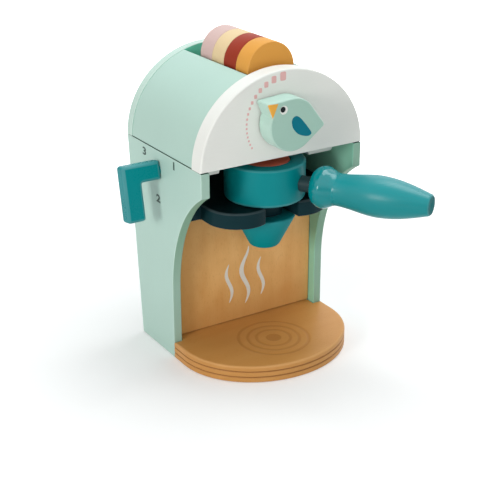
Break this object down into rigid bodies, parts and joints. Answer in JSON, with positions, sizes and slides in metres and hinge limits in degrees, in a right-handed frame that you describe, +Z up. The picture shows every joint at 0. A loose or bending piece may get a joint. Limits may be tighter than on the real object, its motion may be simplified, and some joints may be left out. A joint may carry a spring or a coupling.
{
  "type": "toy coffee maker",
  "caption": "Wooden play coffee maker: arched cabinet with a dial knob, side lever, slot for round pods and a filter holder that slides into a fork.",
  "frame": {"origin": "on the floor, midway between the side panels and midway between the nose of the base and the rear of the head", "axes": "+X to the right seen from the front, +Y to the rear, +Z up"},
  "size_m": [0.174, 0.2039, 0.247],
  "materials": {
    "mint_paint": "satin painted wood",
    "white_paint": "satin painted wood",
    "teal_paint": "satin painted wood",
    "navy_paint": "satin painted wood",
    "bare_wood": "clear lacquered wood",
    "dowel_wood": "bare turned wood",
    "pink_paint": "satin painted wood",
    "cream_paint": "satin painted wood",
    "dark_red_paint": "satin painted wood",
    "mustard_paint": "satin painted wood",
    "brick_paint": "satin painted wood"
  },
  "bodies": {
    "root": {"base_plate": "bare_wood", "left_side_panel": "mint_paint", "right_side_panel": "mint_paint", "back_panel": "bare_wood", "rear_panel": "mint_paint", "filter_fork": "navy_paint", "inner_board": "white_paint", "front_fascia": "white_paint", "rear_arch_plate": "mint_paint", "left_dome_shell": "mint_paint", "right_dome_shell": "mint_paint", "pod_tray": "mint_paint", "seam_pin_1": "dowel_wood", "seam_pin_2": "dowel_wood", "seam_pin_3": "dowel_wood", "seam_pin_4": "dowel_wood", "base_pin_1": "dowel_wood", "base_pin_2": "dowel_wood", "base_pin_3": "dowel_wood", "base_pin_4": "dowel_wood", "fork_pin_1": "dowel_wood", "fork_pin_2": "dowel_wood", "fork_pin_3": "dowel_wood", "fork_pin_4": "dowel_wood"},
    "knob": {"bird_knob": "mint_paint", "knob_axle": "dowel_wood", "knob_washer": "dowel_wood", "knob_collar": "dowel_wood"},
    "lever": {"side_lever": "teal_paint", "lever_axle": "dowel_wood", "lever_washer": "dowel_wood", "lever_collar": "dowel_wood"},
    "loaded_pod": {"pod_loaded": "brick_paint"},
    "filter_holder": {"filter_cup": "teal_paint", "filter_neck": "navy_paint", "filter_spout": "teal_paint", "handle_dowel": "navy_paint", "filter_handle": "teal_paint"},
    "mustard_pod": {"pod_mustard": "mustard_paint"},
    "dark_red_pod": {"pod_dark_red": "dark_red_paint"},
    "cream_pod": {"pod_cream": "cream_paint"},
    "pink_pod": {"pod_pink": "pink_paint"}
  },
  "joints": [
    {"name": "knob_turn", "type": "hinge", "parent": "root", "child": "knob", "pos_m": [0, -0.0413, 0.194], "axis": [0, -1, 0], "continuous": true},
    {"name": "lever_turn", "type": "hinge", "parent": "root", "child": "lever", "pos_m": [-0.07, 0.0231, 0.1509], "axis": [1, 0, 0], "continuous": true},
    {"name": "filter_slide", "type": "slide", "parent": "root", "child": "loaded_pod", "axis": [0, -1, 0], "range_m": [0, 0.075]},
    {"name": "filter_swivel", "type": "hinge", "parent": "loaded_pod", "child": "filter_holder", "pos_m": [0, -0.0154, 0.143], "axis": [0, 0, 1], "range_deg": [-70.5, 9.5]},
    {"name": "mustard_pod_lift", "type": "slide", "parent": "root", "child": "mustard_pod", "axis": [0, 0, 1], "range_m": [0, 0.045]},
    {"name": "dark_red_pod_lift", "type": "slide", "parent": "root", "child": "dark_red_pod", "axis": [0, 0, 1], "range_m": [0, 0.045]},
    {"name": "cream_pod_lift", "type": "slide", "parent": "root", "child": "cream_pod", "axis": [0, 0, 1], "range_m": [0, 0.045]},
    {"name": "pink_pod_lift", "type": "slide", "parent": "root", "child": "pink_pod", "axis": [0, 0, 1], "range_m": [0, 0.045]}
  ]
}
